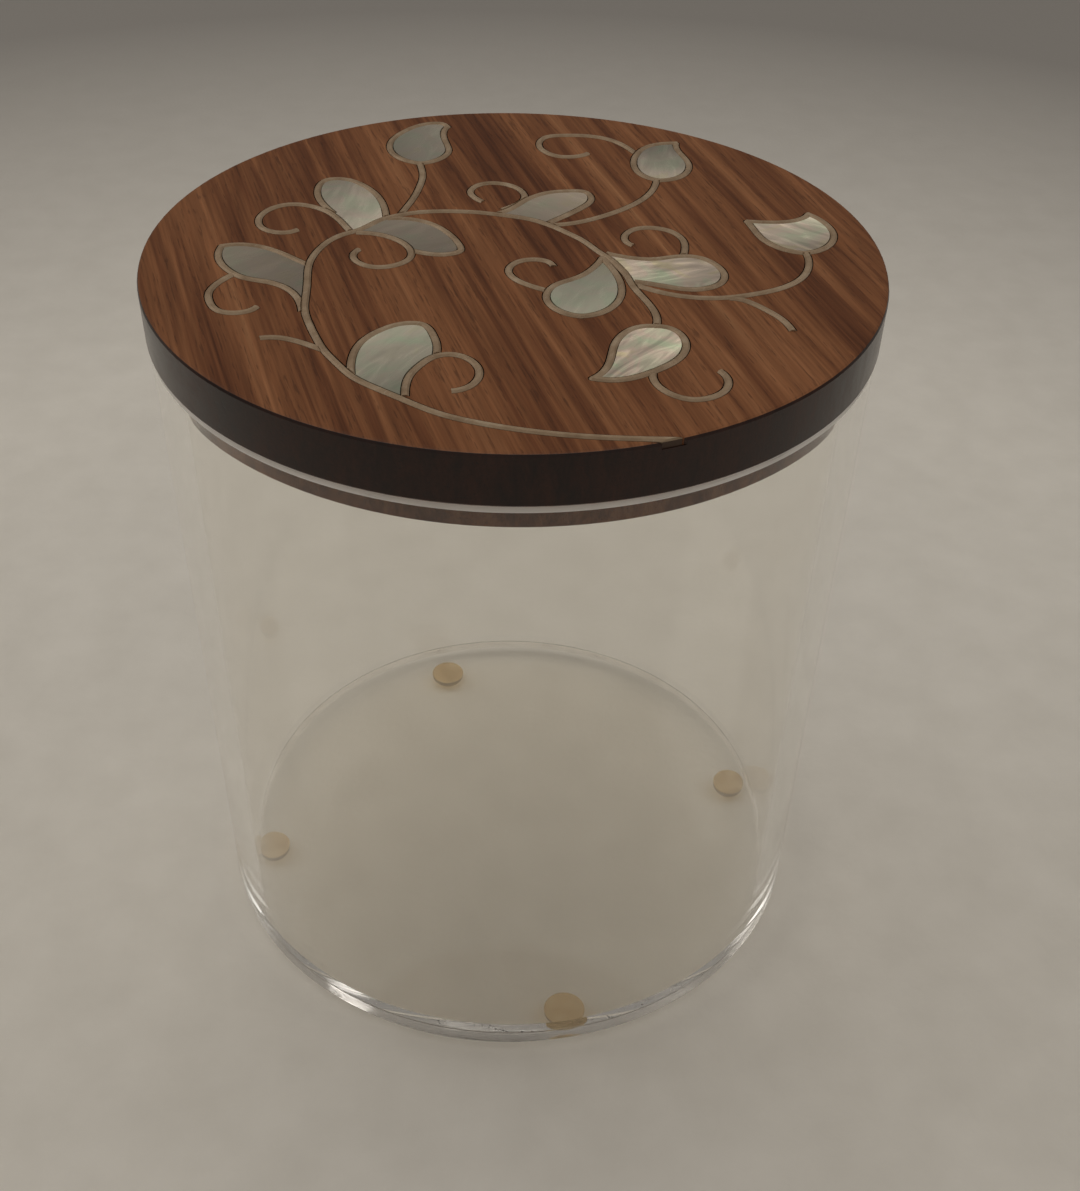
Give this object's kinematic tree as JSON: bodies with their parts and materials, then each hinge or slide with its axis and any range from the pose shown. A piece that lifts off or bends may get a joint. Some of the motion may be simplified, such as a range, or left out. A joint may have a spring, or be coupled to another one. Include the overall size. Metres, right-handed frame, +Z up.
{
  "type": "lidded yarn jar",
  "caption": "Clear cylindrical yarn jar on small bumper feet, with a lift-off wooden lid inlaid with a vine of metal strip and shell leaves.",
  "frame": {"origin": "on the surface the feet stand on, under the middle of the jar", "axes": "+Z up along the jar's axis, -Y towards the front, where the main stem leaves the lid's edge"},
  "size_m": [0.1508, 0.1508, 0.1701],
  "materials": {
    "acrylic": "clear, polished",
    "bumper": "soft, translucent amber",
    "wood": "satin varnish over a straight reddish brown grain",
    "shell": "polished mother-of-pearl",
    "strip_metal": "matte grey-beige, sanded level"
  },
  "bodies": {
    "jar": {"jar_tube": "acrylic", "base_disc": "acrylic", "foot_front": "bumper", "foot_right": "bumper", "foot_back": "bumper", "foot_left": "bumper"},
    "lid": {"branch_a": "strip_metal", "branch_g": "strip_metal", "branch_h": "strip_metal", "curl_b": "strip_metal", "curl_c": "strip_metal", "curl_d": "strip_metal", "curl_e": "strip_metal", "curl_f": "strip_metal", "curl_g": "strip_metal", "curl_i": "strip_metal", "curl_j": "strip_metal", "curl_k": "strip_metal", "leaf_strip_a": "strip_metal", "leaf_strip_b": "strip_metal", "leaf_strip_c": "strip_metal", "leaf_strip_d": "strip_metal", "leaf_strip_e": "strip_metal", "leaf_strip_f": "strip_metal", "leaf_strip_g": "strip_metal", "leaf_strip_h": "strip_metal", "leaf_strip_i": "strip_metal", "leaf_strip_j": "strip_metal", "leaf_strip_k": "strip_metal", "lid_board": "wood", "shell_leaf_a": "shell", "shell_leaf_b": "shell", "shell_leaf_c": "shell", "shell_leaf_d": "shell", "shell_leaf_e": "shell", "shell_leaf_f": "shell", "shell_leaf_g": "shell", "shell_leaf_h": "shell", "shell_leaf_i": "shell", "shell_leaf_j": "shell", "shell_leaf_k": "shell", "stem_lower": "strip_metal", "stem_upper": "strip_metal", "tendril_d": "strip_metal", "tendril_h": "strip_metal"}
  },
  "joints": [
    {"name": "lid_lift", "type": "slide", "parent": "jar", "child": "lid", "axis": [0, 0, 1], "range_m": [0, 0.06]}
  ]
}
